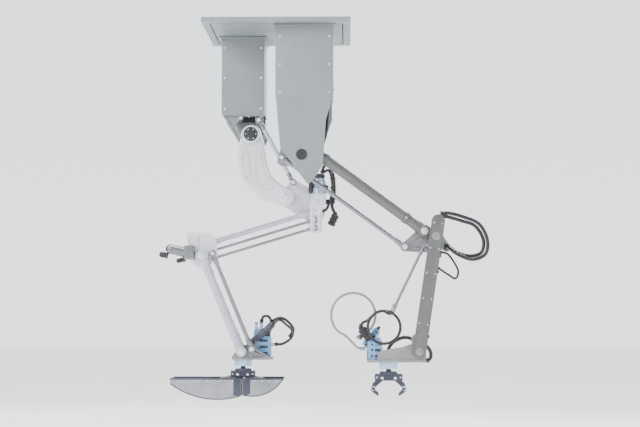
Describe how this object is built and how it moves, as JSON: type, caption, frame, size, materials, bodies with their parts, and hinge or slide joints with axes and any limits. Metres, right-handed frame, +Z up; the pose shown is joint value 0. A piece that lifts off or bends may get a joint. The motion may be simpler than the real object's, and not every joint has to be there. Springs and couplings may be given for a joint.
{
  "type": "twin-arm pick robot",
  "caption": "Ceiling-hung pick robot: two jointed parallelogram arms with level-keeping tie rods, vertical tool swivels, a scoop gripper and a finger gripper with looped air hoses.",
  "frame": {"origin": "centre of the ceiling plate's top face, in the middle of its four bolt holes", "axes": "+Z up out of the plate, +X to the right seen from the front, +Y to the rear; the arms work in planes of constant Y"},
  "size_m": [1.0389, 0.44, 1.184],
  "materials": {
    "grey_paint": "satin powder coat",
    "zinc_steel": "bright zinc",
    "cast_grey": "satin",
    "arm_grey": "bead-blasted, clear anodised",
    "rod_steel": "drawn",
    "gearbox_metal": "machined",
    "motor_black": "satin black",
    "black_plastic": "fine texture",
    "black_hose": "satin polyurethane",
    "grey_hose": "translucent grey polyurethane",
    "belt_rubber": "toothed",
    "white_paint": "gloss powder coat",
    "white_link": "gloss powder coat",
    "pale_metal": "pale blue anodised",
    "light_blue": "satin blue",
    "fitting_blue": "blue release rings",
    "gripper_dark": "hard anodised",
    "scoop_steel": "brushed stainless"
  },
  "bodies": {
    "base": {"ceiling_plate": "grey_paint", "column_bolts": "zinc_steel", "front_column": "grey_paint", "front_column_plug": "black_plastic", "front_shoulder_plate": "cast_grey", "front_shoulder_motor": "motor_black", "front_shoulder_gearbox": "gearbox_metal", "front_column_cable": "black_hose", "rear_column": "grey_paint", "rear_shoulder_bracket": "cast_grey", "rear_shoulder_motor": "motor_black", "rear_shoulder_gearbox": "gearbox_metal"},
    "front_upper_arm": {"front_upper_arm": "arm_grey"},
    "front_upper_rod": {"front_upper_rod": "rod_steel"},
    "front_elbow": {"front_elbow_plate": "cast_grey", "front_elbow_pins": "zinc_steel", "front_elbow_servo": "motor_black"},
    "front_forearm": {"front_forearm": "arm_grey", "front_forearm_cap": "black_plastic", "front_wrist_belt": "belt_rubber", "front_air_pipe": "gearbox_metal", "front_forearm_cable": "black_hose", "front_elbow_hoses": "black_hose"},
    "front_wrist": {"front_wrist_bracket": "cast_grey", "front_wrist_pin": "zinc_steel", "front_tool_motor": "pale_metal", "front_valve_block": "light_blue", "front_valve_solenoid": "black_plastic", "front_air_fittings": "fitting_blue", "front_grey_hose": "grey_hose", "front_black_hose": "black_hose", "front_wrist_cables": "black_hose"},
    "front_tool": {"front_gripper_body": "gripper_dark"},
    "front_jaw_left": {"front_jaw_left": "gripper_dark"},
    "front_jaw_right": {"front_jaw_right": "gripper_dark"},
    "rear_upper_arm": {"rear_upper_arm": "white_paint", "rear_shoulder_cap": "motor_black"},
    "rear_upper_rod": {"rear_upper_rod": "rod_steel"},
    "rear_knee": {"rear_knee_block": "white_paint", "rear_knee_pins": "zinc_steel", "rear_knee_motor": "pale_metal", "rear_knee_cable": "black_hose"},
    "rear_middle_link": {"rear_middle_link": "white_link"},
    "rear_middle_rod_front": {"rear_middle_rod_front": "rod_steel"},
    "rear_middle_rod_back": {"rear_middle_rod_back": "rod_steel"},
    "rear_elbow": {"rear_elbow_block": "white_paint", "rear_elbow_pins": "zinc_steel", "rear_elbow_servo": "gearbox_metal"},
    "rear_forearm": {"rear_forearm": "white_link"},
    "rear_forearm_rod": {"rear_forearm_rod": "rod_steel"},
    "rear_wrist": {"rear_wrist_bracket": "cast_grey", "rear_wrist_pins": "zinc_steel", "rear_tool_motor": "pale_metal", "rear_valve_block": "light_blue", "rear_air_fittings": "fitting_blue", "rear_wrist_hose": "black_hose"},
    "rear_tool": {"rear_gripper_body": "gripper_dark"},
    "rear_jaw_left": {"rear_scoop_left": "scoop_steel"},
    "rear_jaw_right": {"rear_scoop_right": "scoop_steel"}
  },
  "joints": [
    {"name": "front_shoulder", "type": "hinge", "parent": "base", "child": "front_upper_arm", "pos_m": [0.076, -0.146, -0.379], "axis": [0, 1, 0], "range_deg": [-15, 18]},
    {"name": "front_upper_rod", "type": "hinge", "parent": "base", "child": "front_upper_rod", "pos_m": [0.016, -0.146, -0.427], "axis": [0, 1, 0], "range_deg": [-15, 18]},
    {"name": "front_elbow", "type": "hinge", "parent": "front_upper_arm", "child": "front_elbow", "pos_m": [0.45576, -0.146, -0.65592], "axis": [0, 1, 0], "range_deg": [-18, 15]},
    {"name": "front_forearm", "type": "hinge", "parent": "front_elbow", "child": "front_forearm", "pos_m": [0.48975, -0.186, -0.67392], "axis": [0, 1, 0], "range_deg": [-18, 20], "deforming": ["front_elbow_hoses"]},
    {"name": "front_wrist", "type": "hinge", "parent": "front_forearm", "child": "front_wrist", "pos_m": [0.43728, -0.186, -1.02502], "axis": [0, 1, 0], "range_deg": [-20, 18], "deforming": ["front_black_hose"]},
    {"name": "front_swivel", "type": "hinge", "parent": "front_wrist", "child": "front_tool", "pos_m": [0.345, -0.14, -1.086], "axis": [0, 0, 1], "range_deg": [-60, 60]},
    {"name": "front_jaw_left", "type": "hinge", "parent": "front_tool", "child": "front_jaw_left", "pos_m": [0.325, -0.14, -1.106], "axis": [0, 1, 0], "range_deg": [0, 25]},
    {"name": "front_jaw_right", "type": "hinge", "parent": "front_tool", "child": "front_jaw_right", "pos_m": [0.365, -0.14, -1.106], "axis": [0, 1, 0], "range_deg": [-25, 0]},
    {"name": "rear_shoulder", "type": "hinge", "parent": "base", "child": "rear_upper_arm", "pos_m": [-0.094, 0.1, -0.329], "axis": [0, 1, 0], "range_deg": [-15, 15]},
    {"name": "rear_upper_rod", "type": "hinge", "parent": "base", "child": "rear_upper_rod", "pos_m": [-0.067, 0.064, -0.285], "axis": [0, 1, 0], "range_deg": [-15, 15]},
    {"name": "rear_knee", "type": "hinge", "parent": "rear_upper_arm", "child": "rear_knee", "pos_m": [0.01799, 0.1, -0.53104], "axis": [0, 1, 0], "range_deg": [-15, 15]},
    {"name": "rear_middle", "type": "hinge", "parent": "rear_knee", "child": "rear_middle_link", "pos_m": [0.10999, 0.108, -0.58004], "axis": [0, 1, 0], "range_deg": [-10, 12]},
    {"name": "rear_middle_rod_front", "type": "hinge", "parent": "rear_knee", "child": "rear_middle_rod_front", "pos_m": [0.11299, 0.088, -0.60804], "axis": [0, 1, 0], "range_deg": [-10, 12]},
    {"name": "rear_middle_rod_back", "type": "hinge", "parent": "rear_knee", "child": "rear_middle_rod_back", "pos_m": [0.11399, 0.07, -0.63404], "axis": [0, 1, 0], "range_deg": [-10, 12]},
    {"name": "rear_elbow", "type": "hinge", "parent": "rear_middle_link", "child": "rear_elbow", "pos_m": [-0.23674, 0.108, -0.68406], "axis": [0, 1, 0], "range_deg": [-12, 10]},
    {"name": "rear_forearm", "type": "hinge", "parent": "rear_elbow", "child": "rear_forearm", "pos_m": [-0.24574, 0.028, -0.72606], "axis": [0, 1, 0], "range_deg": [-20, 20]},
    {"name": "rear_forearm_rod", "type": "hinge", "parent": "rear_elbow", "child": "rear_forearm_rod", "pos_m": [-0.21174, 0.028, -0.71806], "axis": [0, 1, 0], "range_deg": [-20, 20]},
    {"name": "rear_wrist", "type": "hinge", "parent": "rear_forearm", "child": "rear_wrist", "pos_m": [-0.11999, 0.028, -1.03116], "axis": [0, 1, 0], "range_deg": [-20, 20]},
    {"name": "rear_swivel", "type": "hinge", "parent": "rear_wrist", "child": "rear_tool", "pos_m": [-0.117, 0.076, -1.086], "axis": [0, 0, 1], "range_deg": [-60, 60]},
    {"name": "rear_jaw_left", "type": "hinge", "parent": "rear_tool", "child": "rear_jaw_left", "pos_m": [-0.133, 0.076, -1.106], "axis": [0, 1, 0], "range_deg": [0, 22]},
    {"name": "rear_jaw_right", "type": "hinge", "parent": "rear_tool", "child": "rear_jaw_right", "pos_m": [-0.101, 0.076, -1.106], "axis": [0, 1, 0], "range_deg": [-30, 0]}
  ],
  "couplings": [
    {"joint": "front_upper_rod", "follows": "front_shoulder", "ratio": 1},
    {"joint": "front_elbow", "follows": "front_shoulder", "ratio": -1},
    {"joint": "front_wrist", "follows": "front_forearm", "ratio": -1},
    {"joint": "front_jaw_right", "follows": "front_jaw_left", "ratio": -1},
    {"joint": "rear_upper_rod", "follows": "rear_shoulder", "ratio": 1},
    {"joint": "rear_knee", "follows": "rear_shoulder", "ratio": -1},
    {"joint": "rear_middle_rod_front", "follows": "rear_middle", "ratio": 1},
    {"joint": "rear_middle_rod_back", "follows": "rear_middle", "ratio": 1},
    {"joint": "rear_elbow", "follows": "rear_middle", "ratio": -1},
    {"joint": "rear_forearm_rod", "follows": "rear_forearm", "ratio": 1},
    {"joint": "rear_wrist", "follows": "rear_forearm", "ratio": -1},
    {"joint": "rear_jaw_right", "follows": "rear_jaw_left", "ratio": -1}
  ]
}
